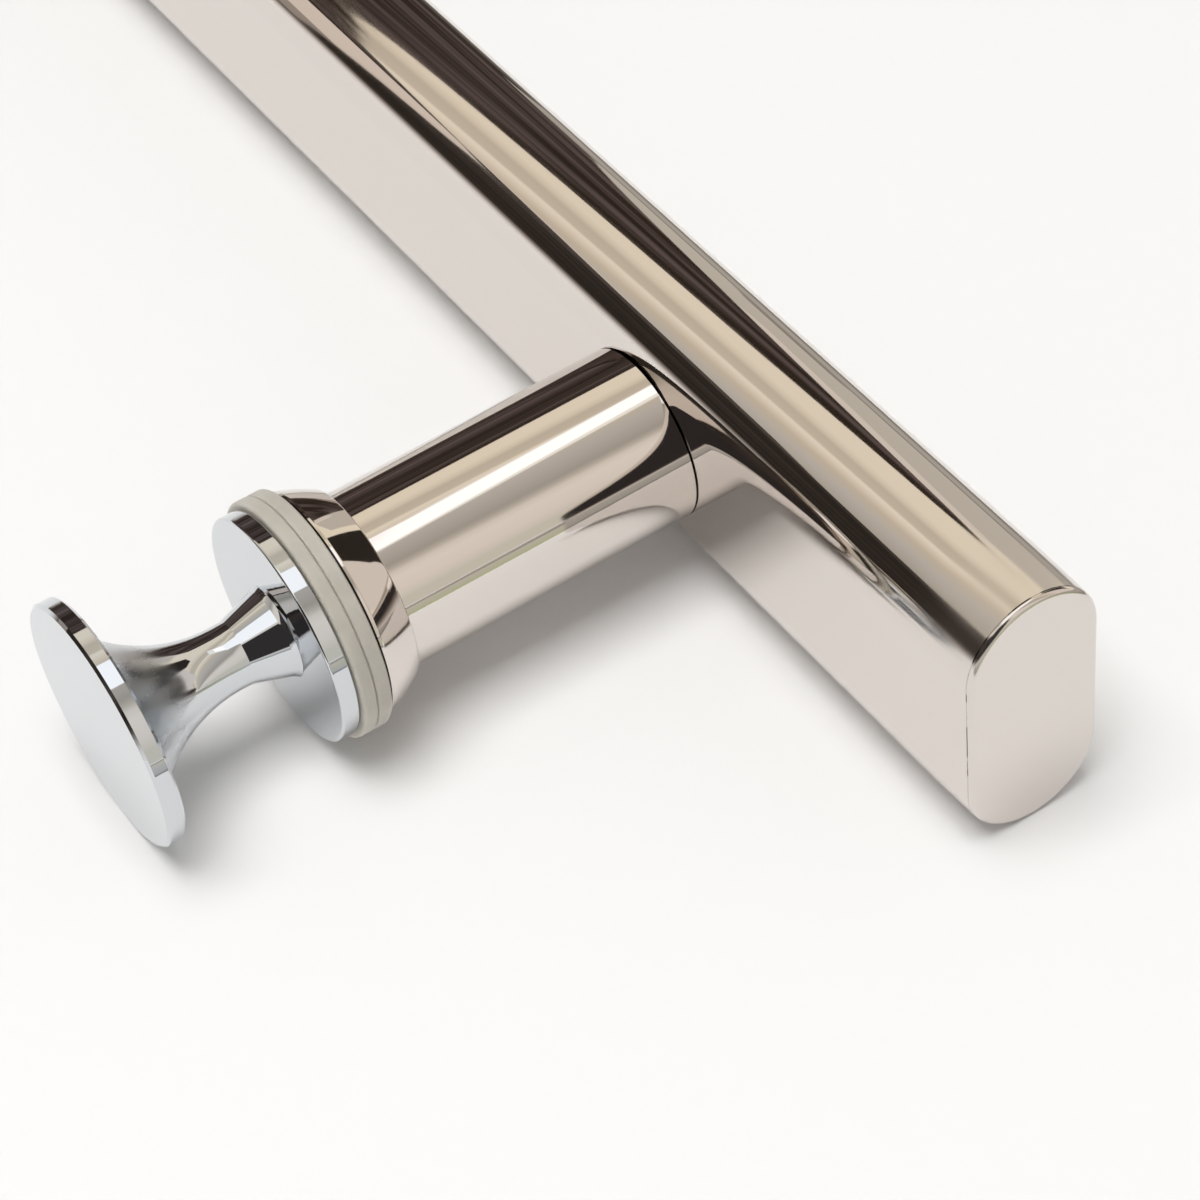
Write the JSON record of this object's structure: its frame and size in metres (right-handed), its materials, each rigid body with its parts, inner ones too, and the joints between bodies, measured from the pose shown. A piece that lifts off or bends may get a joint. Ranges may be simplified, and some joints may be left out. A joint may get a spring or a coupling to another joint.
{
  "type": "shower door handle",
  "caption": "Polished steel shower door handle: a long oval bar on round posts with flared collars, clamped through the glass by turned spool knobs.",
  "frame": {"origin": "on the glass plane, midway between the centres of the two glass holes", "axes": "+X along the bar to its right end, +Y from the glass towards the bar, +Z across the bar's height; every piece is centred on z = 0"},
  "size_m": [0.59, 0.1029, 0.04],
  "materials": {
    "polished_steel": "mirror-polished stainless steel with a faint polishing grain",
    "knob_chrome": "bright chrome plating on turned metal",
    "gasket": "milky translucent soft plastic",
    "bush": "white moulded plastic",
    "inner_steel": "turned steel, bare"
  },
  "bodies": {
    "root": {"backplate_left": "knob_chrome", "backplate_right": "knob_chrome", "bar_tube": "polished_steel", "clamp_stud_left": "inner_steel", "clamp_stud_right": "inner_steel", "collar_left": "polished_steel", "collar_right": "polished_steel", "end_cap_left": "polished_steel", "end_cap_right": "polished_steel", "foot_plug_left": "inner_steel", "foot_plug_right": "inner_steel", "head_plug_left": "inner_steel", "head_plug_right": "inner_steel", "hole_bush_left": "bush", "hole_bush_right": "bush", "inner_gasket_left": "gasket", "inner_gasket_right": "gasket", "joining_stud_left": "inner_steel", "joining_stud_right": "inner_steel", "knob_left": "knob_chrome", "knob_right": "knob_chrome", "nut_block_left": "inner_steel", "nut_block_right": "inner_steel", "outer_gasket_left": "gasket", "outer_gasket_right": "gasket", "post_left": "polished_steel", "post_right": "polished_steel"}
  },
  "joints": []
}
